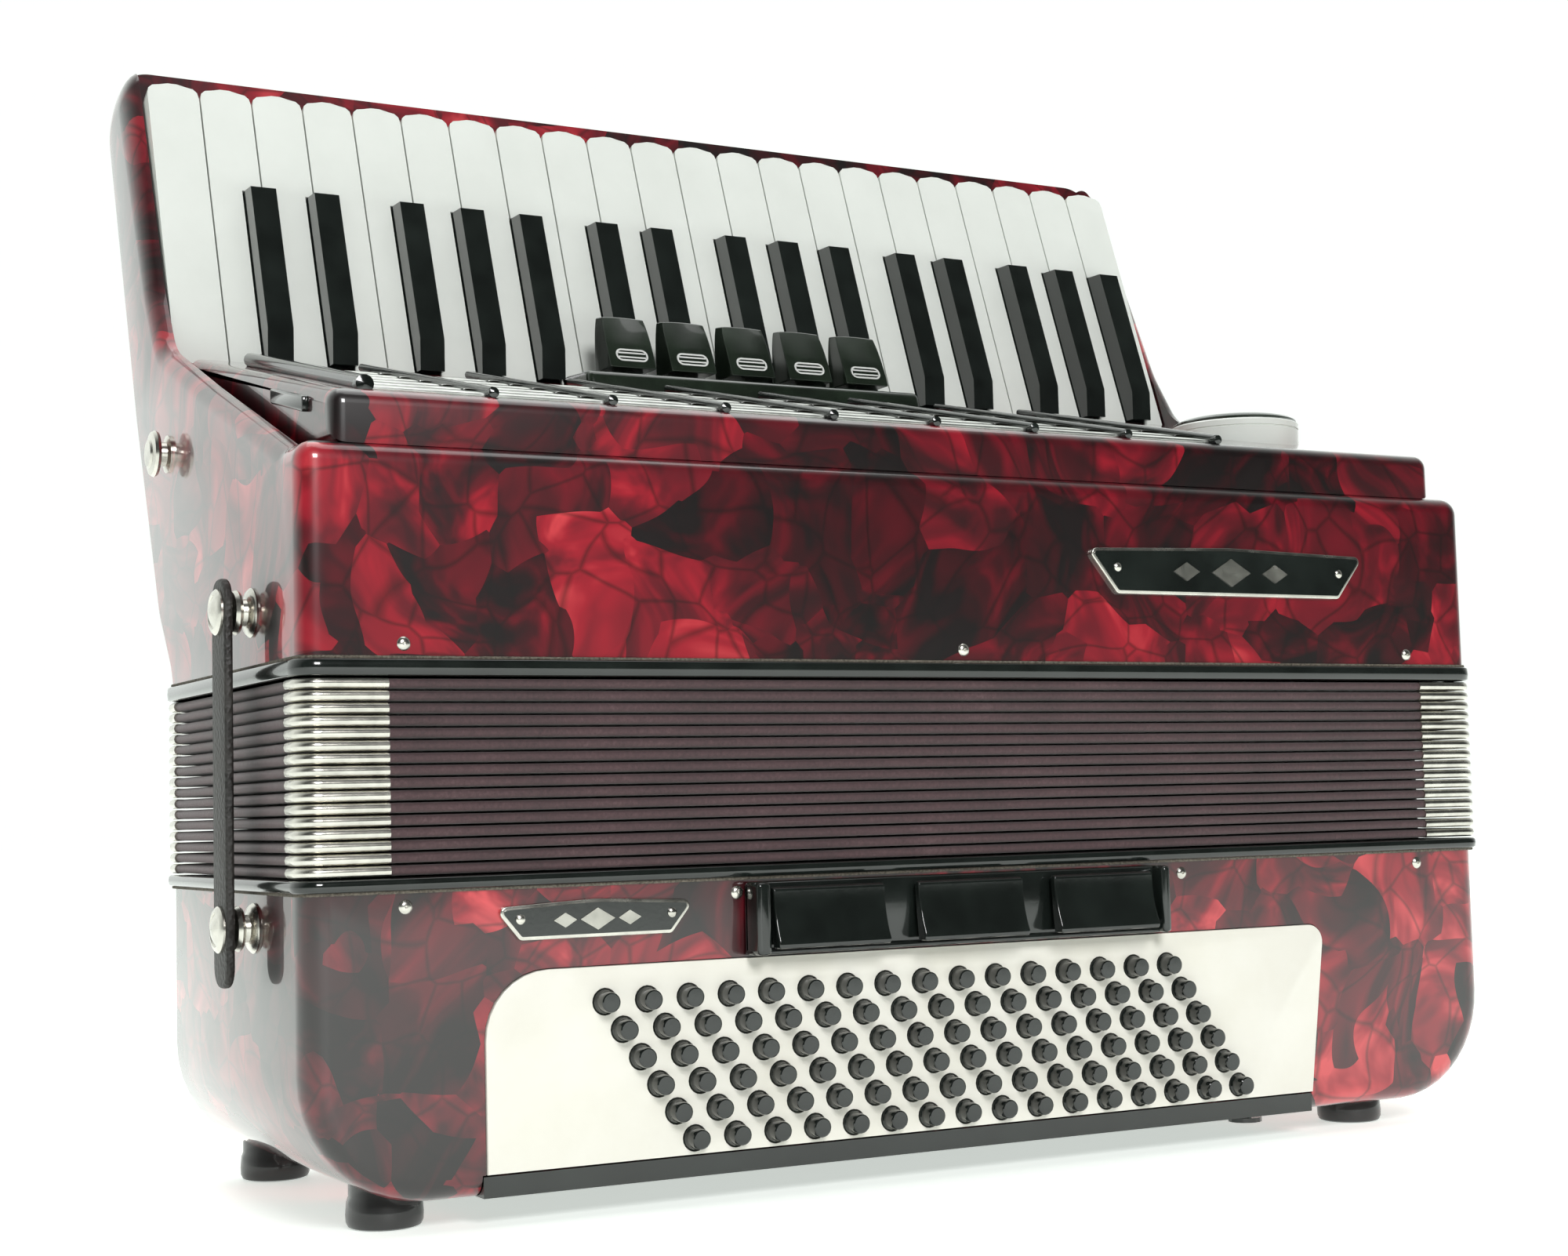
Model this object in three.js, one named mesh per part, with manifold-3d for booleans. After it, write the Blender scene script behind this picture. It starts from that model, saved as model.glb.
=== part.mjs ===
// Piano accordion standing on the feet of its bass end. Millimetres, +Z up.
// X runs along the keyboard, Y from the front (bass buttons, grille) to the back (keyboard).
import * as THREE from 'three';
import { mergeVertices } from 'three/addons/utils/BufferGeometryUtils.js';
import Module from 'manifold-3d';

const wasm = await Module();
wasm.setup();

// Driving dimensions
const GAP = 0.3;                       // clearance between pieces that meet face to face
const HALF_WIDTH = 224;                // casings, half of their length along the keyboard
const DEPTH = 152;                     // casings, front to back
const WALL = 7;                        // casing wall thickness
const BAND_LIP = 2;                    // the bellows frames stand proud of the casings
const BASS_BOTTOM = 8.5;
const BASS_TOP = 98.6;
const BASS_CORNER = 38;                // radius of the bass casing's lower corners
const BELLOWS_LOW = 102.3;
const BELLOWS_HIGH = 160.7;
const BELLOWS_WALL = 22;
const TREBLE_BAND_TOP = 165.7;
const TREBLE_FRONT_TOP = 229.5;
const BOARD_LOW = 222;                 // pallet board under the grille
const BOARD_HIGH = 228.3;
const FOOT_RADIUS = 11.5;
const FRONT_LIMIT = -12;               // bass registers reach furthest forward
const BACK_LIMIT = 247;                // keyboard bed reaches furthest back
const TOP_LIMIT = 404.5;               // lip behind the key tips

const CHEEK_INNER = 217.6;             // inner faces of the keyboard's end plates
const CHEEK_CORNER = 12;
const WHITE_COUNT = 22;
const WHITE_PITCH = 19.74;
const KEYBOARD_LEFT = -WHITE_COUNT * WHITE_PITCH / 2;
const KEY_THICKNESS = 9;
const KEY_LENGTH = 119;                // visible length of a white key
const KEY_TIP_CORNER = 4.5;
const KEY_TIP_BULGE = 1;                // the tip's edge is slightly convex
const KEY_TILT = THREE.MathUtils.degToRad(20.1);
const KEY_START = { y: 171, z: 284 };  // where the playing surface leaves the grille cover
const TAIL_LIMIT = 209.5;              // key tails stay inside the grille cover's side walls
const BLACK_WIDTH = 9.5;
const BLACK_LENGTH = 73.5;
const BLACK_RISE = 9;
const BLACK_TIP_SLANT = 3.5;
const BLACK_FOOT = 10;                 // the top starts this far along, above an upright foot
const BLACK_CLEARANCE = 0.5;
const BLACK_OFFSETS = { 2: -2.4, 3: 1.9, 5: -4.3, 6: 0.3, 0: 4.8 };   // by key gap number modulo 7
const AXLE_ALONG = -25;                // key axle, measured along the key from KEY_START
const AXLE_RADIUS = 1.5;
const AXLE_CLEARANCE = 0.25;

const COVER_HALF = 213;
const COVER_WALL = 2.5;
const COVER_FRONT = 4;
const COVER_SLOPE = 0.2364;            // rise per millimetre towards the keyboard
const SWITCH = { x: 172, y: 66 };      // round switch on the grille cover

const BUTTON_COLUMNS = 16;
const BUTTON_ROWS = 6;
const BUTTON_FIRST = { x: -131.7, z: 63.1 };
const BUTTON_PITCH = { x: 13.95, z: -8.56, slant: 5.8 };
const BUTTON_RADIUS = 3.1;
const BUTTON_HOLE_RADIUS = 4.1;
const BUTTON_FRONT = -6;

const STRAP_Y = 49;
const STRAP_STUD_HIGH = 182.7;
const STRAP_STUD_LOW = 87.6;
const STUD_END = 231.5;

// Shapes
function outline(points) {
  return new THREE.Shape(points.map(([a, b]) => new THREE.Vector2(a, b)));
}

function extrude(shape, depth) {
  return new THREE.ExtrudeGeometry(shape, { depth, bevelEnabled: false, curveSegments: 5 });
}

function alongX(points, [start, end]) {
  const turn = new THREE.Matrix4().makeBasis(
    new THREE.Vector3(0, 1, 0), new THREE.Vector3(0, 0, 1), new THREE.Vector3(1, 0, 0));
  return extrude(outline(points), end - start).applyMatrix4(turn).translate(start, 0, 0);
}

function alongY(shape, [start, end]) {
  return extrude(shape, end - start).rotateX(Math.PI / 2).translate(0, end, 0);
}

function block([x0, x1], [y0, y1], [z0, z1]) {
  const geometry = new THREE.BoxGeometry(x1 - x0, y1 - y0, z1 - z0);
  return geometry.translate((x0 + x1) / 2, (y0 + y1) / 2, (z0 + z1) / 2);
}

function rodX(radius, [start, end], y, z, sides = 12) {
  const geometry = new THREE.CylinderGeometry(radius, radius, end - start, sides);
  return geometry.rotateZ(Math.PI / 2).translate((start + end) / 2, y, z);
}

function rodY(radius, x, [start, end], z, sides = 6) {
  const geometry = new THREE.CylinderGeometry(radius, radius, end - start, sides);
  return geometry.translate(x, (start + end) / 2, z);
}

function rodZ(radius, x, y, [start, end], sides = 16) {
  const geometry = new THREE.CylinderGeometry(radius, radius, end - start, sides);
  return geometry.rotateX(Math.PI / 2).translate(x, y, (start + end) / 2);
}

// Booleans
function solidOf(geometry) {
  const bare = geometry.clone();
  bare.deleteAttribute('normal');
  bare.deleteAttribute('uv');
  const merged = mergeVertices(bare);
  const mesh = new wasm.Mesh({
    numProp: 3,
    vertProperties: merged.attributes.position.array,
    triVerts: new Uint32Array(merged.index.array),
  });
  return new wasm.Manifold(mesh);
}

function geometryOf(solid) {
  const mesh = solid.getMesh();
  const geometry = new THREE.BufferGeometry();
  geometry.setAttribute('position', new THREE.BufferAttribute(mesh.vertProperties, 3));
  geometry.setIndex(new THREE.BufferAttribute(mesh.triVerts, 1));
  geometry.computeVertexNormals();
  return geometry;
}

function join(...geometries) {
  return geometries.map(solidOf).reduce((whole, solid) => whole.add(solid));
}

function cut(solid, ...geometries) {
  return geometries.map(solidOf).reduce((rest, tool) => rest.subtract(tool), solid);
}

// Materials
const pearl = { color: 0x7c0f1c, roughness: 0.15, metalness: 0 };
const blackGloss = { color: 0x0a0c0b, roughness: 0.2, metalness: 0 };
const ivory = { color: 0xe9e6dc, roughness: 0.35, metalness: 0 };
const whiteGloss = { color: 0xf4f5f2, roughness: 0.2, metalness: 0 };
const bellowsCloth = { color: 0x3a2024, roughness: 0.8, metalness: 0 };
const leather = { color: 0x14110f, roughness: 0.7, metalness: 0 };
const steel = { color: 0xb8b8b4, roughness: 0.3, metalness: 1 };
const wood = { color: 0xb08850, roughness: 0.7, metalness: 0 };

const accordion = new THREE.Group();
accordion.name = 'piano_accordion';
accordion.position.y = -(FRONT_LIMIT + BACK_LIMIT) / 2;

function addPiece(name, shape, look) {
  const geometry = shape.isBufferGeometry ? shape : geometryOf(shape);
  const mesh = new THREE.Mesh(geometry, new THREE.MeshStandardMaterial(look));
  mesh.name = name;
  accordion.add(mesh);
}

function ring(halfWidth, [front, back], wall, [low, high]) {
  const outer = join(block([-halfWidth, halfWidth], [front, back], [low, high]));
  const inside = halfWidth - wall;
  return cut(outer, block([-inside, inside], [front + wall, back - wall], [low - 1, high + 1]));
}

function twoDigits(number) {
  return String(number).padStart(2, '0');
}

// Treble casing: box open to the bellows, pallet board, keyboard bed and end plates in one shell
function trebleCasing() {
  const back = [
    [DEPTH, BELLOWS_HIGH], [DEPTH, 166], [171, 190], [204, 264], [245.5, 380], [BACK_LIMIT, 391],
    [243.5, 400.5], [236, TOP_LIMIT],
  ];
  const endPlate = [
    ...back, [228, TOP_LIMIT], [219, 401], [212, 392], [182, 310], [167, 286], [148, 275],
    [106, 262], [8, TREBLE_FRONT_TOP], [0, TREBLE_FRONT_TOP], [0, BELLOWS_HIGH],
  ];
  const bed = [
    ...back, [230.8, TOP_LIMIT], [177.2, 258], [160, BOARD_HIGH], [DEPTH - 8, BOARD_LOW],
    [DEPTH - 8, BELLOWS_HIGH],
  ];
  const inner = CHEEK_INNER;
  const parts = [
    alongX(bed, [-inner - 1, inner + 1]),
    block([-inner - 1, inner + 1], [0, WALL], [BELLOWS_HIGH, TREBLE_FRONT_TOP]),
    block([-inner - 1, inner + 1], [WALL - 1, 161], [BOARD_LOW, BOARD_HIGH]),
  ];
  for (const side of [-1, 1]) {
    const plate = [side * inner, side * HALF_WIDTH].sort((a, b) => a - b);
    const stud = [side * (HALF_WIDTH - 1), side * STUD_END].sort((a, b) => a - b);
    const flange = [side * 228, side * STUD_END].sort((a, b) => a - b);
    parts.push(
      alongX(endPlate, plate),
      rodX(4.5, stud, STRAP_Y, STRAP_STUD_HIGH),
      rodX(4.5, stud, 151, 246),
      rodX(8, flange, 151, 246));
  }
  const band = ring(HALF_WIDTH + BAND_LIP, [-BAND_LIP, DEPTH + BAND_LIP], 10,
    [BELLOWS_HIGH, TREBLE_BAND_TOP]);
  const axleY = onKey(AXLE_ALONG, KEY_THICKNESS / 2);
  const bore = rodX(AXLE_RADIUS + AXLE_CLEARANCE, [-221, 221], ...axleY);
  const corners = cheekCorner(-1).add(cheekCorner(1));
  return cut(join(...parts), bore).subtract(corners).add(band);
}

// Material outside an end plate's rounded top corner
function cheekCorner(side) {
  const r = CHEEK_CORNER;
  const middle = side * (HALF_WIDTH - r);
  const across = [middle, middle + side * (r + 1)].sort((a, b) => a - b);
  const square = join(block(across, [200, BACK_LIMIT + 1], [TOP_LIMIT - r, TOP_LIMIT + 1]));
  return cut(square, rodY(r, middle, [199, BACK_LIMIT + 2], TOP_LIMIT - r, 32));
}

// A point of the keyboard's side view, from its distance along the key and behind its surface
function onKey(along, behind) {
  return [
    KEY_START.y + along * Math.sin(KEY_TILT) + behind * Math.cos(KEY_TILT),
    KEY_START.z + along * Math.cos(KEY_TILT) - behind * Math.sin(KEY_TILT),
  ];
}

function bored(solid) {
  const [y, z] = onKey(AXLE_ALONG, KEY_THICKNESS / 2);
  return cut(solid, rodX(AXLE_RADIUS + AXLE_CLEARANCE, [-HALF_WIDTH, HALF_WIDTH], y, z, 8));
}

// Lever from the key down past the axle and forward to its pallet on the pallet board
function leverProfile(top) {
  const rest = BOARD_HIGH + GAP;
  return [
    ...top, onKey(-33, KEY_THICKNESS), onKey(-33, 0), [114, rest + 8], [114, rest], [78, rest],
    [78, rest + 7], [86, rest + 9], [112, rest + 13], onKey(-22, 0),
  ];
}

const blackCentres = [];
for (let gap = 1; gap < WHITE_COUNT; gap += 1) {
  if (gap % 7 in BLACK_OFFSETS) {
    blackCentres.push(KEYBOARD_LEFT + gap * WHITE_PITCH + BLACK_OFFSETS[gap % 7]);
  }
}

// Playing plate of a white key, notched beside the black keys, with rounded tip corners
function whitePlate(left, right, freeLeft, freeRight) {
  const notch = BLACK_LENGTH + BLACK_CLEARANCE;
  const tip = KEY_LENGTH;
  const shoulder = tip - KEY_TIP_BULGE;
  const corner = KEY_TIP_CORNER;
  const shape = new THREE.Shape();
  shape.moveTo(freeLeft, -6);
  shape.lineTo(freeRight, -6);
  if (freeRight < right) {
    shape.lineTo(freeRight, notch);
    shape.lineTo(right, notch);
  }
  shape.lineTo(right, shoulder - corner);
  shape.quadraticCurveTo(right, shoulder, right - corner, shoulder);
  shape.quadraticCurveTo((left + right) / 2, tip + KEY_TIP_BULGE, left + corner, shoulder);
  shape.quadraticCurveTo(left, shoulder, left, shoulder - corner);
  if (freeLeft > left) {
    shape.lineTo(left, notch);
    shape.lineTo(freeLeft, notch);
  }
  const place = new THREE.Matrix4().makeBasis(
    new THREE.Vector3(1, 0, 0),
    new THREE.Vector3(0, Math.sin(KEY_TILT), Math.cos(KEY_TILT)),
    new THREE.Vector3(0, -Math.cos(KEY_TILT), Math.sin(KEY_TILT)));
  const [y, z] = onKey(0, KEY_THICKNESS);
  place.setPosition(0, y, z);
  const settings = { depth: KEY_THICKNESS, bevelEnabled: false, curveSegments: 3 };
  return new THREE.ExtrudeGeometry(shape, settings).applyMatrix4(place);
}

function whiteKey(index) {
  const left = KEYBOARD_LEFT + index * WHITE_PITCH + GAP;
  const right = left + WHITE_PITCH - 2 * GAP;
  const middle = (left + right) / 2;
  const reach = BLACK_WIDTH / 2 + BLACK_CLEARANCE;
  const near = blackCentres.filter((x) => Math.abs(x - middle) < WHITE_PITCH);
  const freeLeft = Math.max(left, ...near.filter((x) => x < middle).map((x) => x + reach));
  const freeRight = Math.min(right, ...near.filter((x) => x > middle).map((x) => x - reach));
  const lever = [Math.max(freeLeft, -TAIL_LIMIT), Math.min(freeRight, TAIL_LIMIT)];
  const top = [onKey(0, 0.5), onKey(0, KEY_THICKNESS)];
  return bored(join(
    whitePlate(left, right, freeLeft, freeRight),
    alongX(leverProfile(top), lever)));
}

function blackKey(centre) {
  const face = onKey(BLACK_FOOT, -BLACK_RISE);
  const foot = onKey(0.5, 0);
  const top = [
    foot, [face[0], foot[1]], face, onKey(BLACK_LENGTH - BLACK_TIP_SLANT, -BLACK_RISE),
    onKey(BLACK_LENGTH, 0), onKey(BLACK_LENGTH, KEY_THICKNESS),
  ];
  const half = BLACK_WIDTH / 2;
  return bored(join(alongX(leverProfile(top), [centre - half, centre + half])));
}

// Grille cover: thin shell over the levers, open below and behind
function coverTop(y) {
  return 245 + (y - 6) * COVER_SLOPE;
}

function grilleCover() {
  const low = BOARD_HIGH + 1.2;
  const back = 168;
  const outside = [
    [COVER_FRONT, low], [COVER_FRONT, 240], [6, 243.5], [10, coverTop(10)],
    [back, coverTop(back)], [back, coverTop(back) - 3], [150, low],
  ];
  const inside = [
    [COVER_FRONT + COVER_WALL, low - 1], [COVER_FRONT + COVER_WALL, 239.5],
    [12, coverTop(12) - COVER_WALL], [back + 1, coverTop(back + 1) - COVER_WALL], [back + 1, low - 1],
  ];
  const reach = COVER_HALF - COVER_WALL;
  const shell = join(alongX(outside, [-COVER_HALF, COVER_HALF]));
  const switchDisc = new THREE.CylinderGeometry(27, 28, 9, 24);
  switchDisc.rotateX(Math.PI / 2).translate(SWITCH.x, SWITCH.y, coverTop(SWITCH.y) + 3);
  return cut(shell, alongX(inside, [-reach, reach])).add(solidOf(switchDisc));
}

// Treble registers: a bridge on the cover and five rocking tabs
function registerBridge() {
  const profile = [
    [137, coverTop(137) + GAP], [163, coverTop(163) + GAP], [161, 285.4], [139, 284],
  ];
  return alongX(profile, [-72, 72]);
}

function trebleRegister(index) {
  const middle = (index - 2) * 25.5;
  const profile = [[143.5, 286], [144.5, 291], [153, 306.5], [157, 308.5], [159.5, 306], [158.5, 286.4]];
  return alongX(profile, [middle - 9.5, middle + 9.5]);
}

function trebleReedBlock() {
  const parts = [block([-190, 190], [24, 128], [214, BOARD_LOW - GAP])];
  for (const y of [42, 76, 110]) {
    parts.push(alongX([[y - 12, 215], [y - 7, 172], [y + 7, 172], [y + 12, 215]], [-186, 186]));
  }
  return join(...parts);
}

// Bass casing: tub open to the bellows, front window for the buttons, open bottom for its cover
function bassOutline(inset) {
  const half = HALF_WIDTH - inset;
  const low = BASS_BOTTOM + inset;
  const r = BASS_CORNER - inset;
  const shape = new THREE.Shape();
  shape.moveTo(half, BASS_TOP + inset);
  shape.lineTo(-half, BASS_TOP + inset);
  shape.absarc(-half + r, low + r, r, Math.PI, 1.5 * Math.PI, false);
  shape.absarc(half - r, low + r, r, 1.5 * Math.PI, 2 * Math.PI, false);
  return shape;
}

function windowOutline(inset) {
  const left = -170 + inset;
  const top = 74 - inset;
  const shape = new THREE.Shape();
  shape.moveTo(left, 15 + inset);
  shape.lineTo(140 - inset, 15 + inset);
  shape.lineTo(148 - inset, top - 6);
  shape.lineTo(142 - inset, top);
  shape.absarc(left + 20, top - 20, 20, Math.PI / 2, Math.PI, false);
  return shape;
}

const FEET = [[-193, 23.5], [177, 23.5], [-193, 137], [177, 137]];

function bassCasing() {
  const tub = join(alongY(bassOutline(0), [0, DEPTH]));
  let casing = cut(tub,
    alongY(bassOutline(WALL), [WALL, DEPTH - WALL]),
    alongY(windowOutline(0), [-1, WALL + 1]),
    block([-171, 140], [-1, DEPTH - 3], [BASS_BOTTOM - 1, 15]),
    block([-166, 135], [-1, DEPTH - WALL], [14, 17]));
  casing = casing.add(ring(HALF_WIDTH + BAND_LIP, [-BAND_LIP, DEPTH + BAND_LIP], 10,
    [BASS_TOP, BELLOWS_LOW]));
  for (const [x, y] of FEET) {
    casing = casing.add(solidOf(rodZ(FOOT_RADIUS, x, y, [0, BASS_BOTTOM + 6])));
  }
  for (const side of [-1, 1]) {
    const stud = [side * (HALF_WIDTH - 1), side * STUD_END].sort((a, b) => a - b);
    casing = casing.add(solidOf(rodX(4.5, stud, STRAP_Y, STRAP_STUD_LOW)));
  }
  return casing;
}

const AIR_BUTTON = { x: 128, y: 23 };

function bassEndCover() {
  const plate = join(block([-171 + GAP, 140 - GAP], [GAP, DEPTH - 3 - GAP],
    [BASS_BOTTOM, 15 - GAP]));
  return cut(plate, rodZ(3, AIR_BUTTON.x, AIR_BUTTON.y, [0, 30], 12));
}

function airButton() {
  const { x, y } = AIR_BUTTON;
  return join(rodZ(6, x, y, [3.6, 5.2]), rodZ(2.4, x, y, [4, 32], 12));
}

function buttonPlaces() {
  const places = [];
  for (let row = 0; row < BUTTON_ROWS; row += 1) {
    for (let column = 0; column < BUTTON_COLUMNS; column += 1) {
      const x = BUTTON_FIRST.x + column * BUTTON_PITCH.x + row * BUTTON_PITCH.slant;
      places.push([x, BUTTON_FIRST.z + row * BUTTON_PITCH.z]);
    }
  }
  return places;
}

function buttonPlate() {
  const holes = buttonPlaces().map(([x, z]) => rodY(BUTTON_HOLE_RADIUS, x, [-2, 4], z));
  return cut(join(alongY(windowOutline(GAP), [-0.8, 2.2])), ...holes);
}

function bassButtons() {
  const pegs = buttonPlaces().map(([x, z]) => rodY(BUTTON_RADIUS, x, [BUTTON_FRONT, 9], z));
  return join(block([-140, 124], [8, 10], [17.5, 68]), ...pegs);
}

function bassRegister(index) {
  const middle = -57.5 + index * 52.5;
  const profile = [[-5.2, 94.5], [-8, 95.6], [FRONT_LIMIT, 79], [-11, 76.4], [-7, 76.4]];
  return alongX(profile, [middle - 20, middle + 20]);
}

function bellowsStrap(side) {
  const strap = [side * (STUD_END + GAP), side * (STUD_END + 3)].sort((a, b) => a - b);
  const cap = [side * (STUD_END + 2), side * (STUD_END + 6)].sort((a, b) => a - b);
  const half = 7.5;
  const edge = [
    [STRAP_Y - half, 76], [STRAP_Y - 3, 70], [STRAP_Y + 3, 70], [STRAP_Y + half, 76],
    [STRAP_Y + half, 188], [STRAP_Y + 3, 193], [STRAP_Y - 3, 193], [STRAP_Y - half, 188],
  ];
  return join(
    alongX(edge, strap),
    rodX(7, cap, STRAP_Y, STRAP_STUD_HIGH),
    rodX(7, cap, STRAP_Y, STRAP_STUD_LOW));
}

function handStrap() {
  const top = BASS_BOTTOM - GAP;
  return join(
    block([-158, 150], [78, 124], [3.2, 5.8]),
    block([-158, -140], [84, 118], [5, top]),
    block([118, 138], [84, 118], [5, top]));
}

// Assembly
addPiece('bass_casing', bassCasing(), pearl);
addPiece('bass_end_cover', bassEndCover(), blackGloss);
addPiece('bass_button_plate', buttonPlate(), ivory);
addPiece('bass_buttons', bassButtons(), blackGloss);
addPiece('bass_register_bridge', block([-84, 74], [-4, -GAP], [74.5, 97]), blackGloss);
for (let index = 0; index < 3; index += 1) {
  addPiece(`bass_register_${index + 1}`, bassRegister(index), blackGloss);
}
addPiece('air_button', airButton(), blackGloss);
addPiece('hand_strap', handStrap(), leather);
addPiece('bellows', ring(HALF_WIDTH, [0, DEPTH], BELLOWS_WALL,
  [BELLOWS_LOW + GAP, BELLOWS_HIGH - GAP]), bellowsCloth);
addPiece('treble_casing', trebleCasing(), pearl);
addPiece('treble_reed_block', trebleReedBlock(), wood);
addPiece('grille_cover', grilleCover(), pearl);
addPiece('treble_register_bridge', registerBridge(), blackGloss);
for (let index = 0; index < 5; index += 1) {
  addPiece(`treble_register_${index + 1}`, trebleRegister(index), blackGloss);
}
const [axleY, axleZ] = onKey(AXLE_ALONG, KEY_THICKNESS / 2);
addPiece('key_axle', rodX(AXLE_RADIUS, [-220, 220], axleY, axleZ), steel);
for (let index = 0; index < WHITE_COUNT; index += 1) {
  addPiece(`key_white_${twoDigits(index + 1)}`, whiteKey(index), whiteGloss);
}
blackCentres.forEach((centre, index) => {
  addPiece(`key_black_${twoDigits(index + 1)}`, blackKey(centre), blackGloss);
});
addPiece('bellows_strap_left', bellowsStrap(-1), leather);
addPiece('bellows_strap_right', bellowsStrap(1), leather);

export default accordion;
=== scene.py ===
"""Looks of the piano accordion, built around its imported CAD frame.

Sizes here are millimetres measured from the casings' front plane (y = 0), the keyboard's middle
(x = 0) and the floor (z = 0). Every piece is moved into the row frame, in metres, when it is made.
"""

import math

import bmesh
import bpy
from mathutils import Matrix, Vector


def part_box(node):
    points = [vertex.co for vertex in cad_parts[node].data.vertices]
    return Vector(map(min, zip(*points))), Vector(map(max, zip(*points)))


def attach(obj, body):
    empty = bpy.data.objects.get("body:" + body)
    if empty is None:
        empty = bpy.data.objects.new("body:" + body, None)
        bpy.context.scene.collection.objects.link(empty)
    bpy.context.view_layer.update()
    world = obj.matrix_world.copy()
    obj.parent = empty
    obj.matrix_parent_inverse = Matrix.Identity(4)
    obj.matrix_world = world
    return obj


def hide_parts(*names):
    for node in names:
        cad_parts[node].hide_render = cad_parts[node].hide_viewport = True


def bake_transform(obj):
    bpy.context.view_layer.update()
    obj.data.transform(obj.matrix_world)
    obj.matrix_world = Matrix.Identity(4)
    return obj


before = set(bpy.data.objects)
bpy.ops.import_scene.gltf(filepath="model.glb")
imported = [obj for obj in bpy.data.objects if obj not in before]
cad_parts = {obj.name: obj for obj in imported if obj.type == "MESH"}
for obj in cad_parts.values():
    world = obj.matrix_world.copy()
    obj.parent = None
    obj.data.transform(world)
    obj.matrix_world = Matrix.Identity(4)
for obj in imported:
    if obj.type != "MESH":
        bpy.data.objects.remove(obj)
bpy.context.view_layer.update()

MM = 0.001
BASS, TREBLE = "bass_section", "treble_section"
SIDES = (("left", -1), ("right", 1))

# Casings: half length, depth, and the heights where each part starts and ends.
BAND_LIP = 2.0
FRONT_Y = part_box("bass_casing")[0].y + BAND_LIP * MM
HALF_WIDTH = 224.0
DEPTH = 152.0
BASS_BOTTOM = 8.5
BASS_TOP = 98.6
BASS_CORNER = 38.0
BASS_BAND_TOP = 102.3
TREBLE_LOW = 160.7
TREBLE_BAND_TOP = 165.7
TREBLE_FRONT_TOP = 229.5
TOP = 404.4
OPEN_END_WASTE = 12
FELT_OFFSET = 0.4

# End plates beside the keys; their outer corners are rounded over the last CHEEK_FADE of height.
CHEEK_INNER = 217.6
CHEEK_CORNER = 13.0
CHEEK_FADE = 45

# Grille cover, whose top slopes up towards the keys, and the register tabs behind it.
BOARD_TOP = 228.3
COVER_HALF = 212.8
COVER_START = 6
COVER_LEVEL = 245
COVER_SLOPE = 0.2364
TAB_PITCH = 25.5
TAB_LOW = 286.3
TAB_HEIGHT = 21.6

# Bellows.
FOLD_COUNT = 16
FOLD_DEPTH = 22.0
FOLD_CORNER = 7.0
FOLDS_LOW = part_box("bellows")[0].z / MM
FOLDS_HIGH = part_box("bellows")[1].z / MM

# Bellows straps on their studs.
STRAP_Y = 49.0
STUD_HIGH = 182.7
STUD_LOW = 87.6
STUD_END = 231.5

# Smallest radius of a turned profile, so that its poles are rings too.
POLE_RADIUS = 0.02


# ---------------------------------------------------------------- outlines and solids
def rounded(corners, steps=6):
    """Closed outline from corners (a, b, radius), each corner turned into an arc."""
    points = []
    count = len(corners)
    for i, (a, b, radius) in enumerate(corners):
        here = Vector((a, b))
        before = (Vector(corners[i - 1][:2]) - here).normalized()
        after = (Vector(corners[(i + 1) % count][:2]) - here).normalized()
        if radius == 0:
            points.append((a, b))
            continue
        half = before.angle(after) / 2
        reach = radius / math.tan(half)
        centre = here + (before + after).normalized() * (radius / math.sin(half))
        start = here + before * reach - centre
        end = here + after * reach - centre
        sweep = math.atan2(start.x * end.y - start.y * end.x, start.dot(end))
        for k in range(steps + 1):
            spoke = Matrix.Rotation(sweep * k / steps, 2) @ start
            points.append(tuple(centre + spoke))
    return points


def inset(points, distance):
    """The outline moved inwards by distance, corner by corner."""
    count = len(points)
    area = 0.0
    for (a0, b0), (a1, b1) in zip([points[-1]] + points[:-1], points):
        area += a0 * b1 - a1 * b0
    side = 1 if area > 0 else -1
    sharpest = 0.3
    moved = []
    for i in range(count):
        here = Vector(points[i])
        before = (here - Vector(points[i - 1])).normalized()
        after = (Vector(points[(i + 1) % count]) - here).normalized()
        n1 = Vector((-before.y, before.x))
        n2 = Vector((-after.y, after.x))
        middle = (n1 + n2).normalized()
        moved.append(tuple(here + middle * (side * distance / max(sharpest, middle.dot(n1)))))
    return moved


def circle(radius, sides=24, centre=(0, 0)):
    turn = 2 * math.pi / sides
    return [(centre[0] + radius * math.cos(turn * i), centre[1] + radius * math.sin(turn * i))
            for i in range(sides)]


def placed(axis, a, b, along):
    """Point of an outline (a, b) at a distance along the axis square to it."""
    return {"X": (along, a, b), "Y": (a, along, b), "Z": (a, b, along)}[axis]


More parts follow.
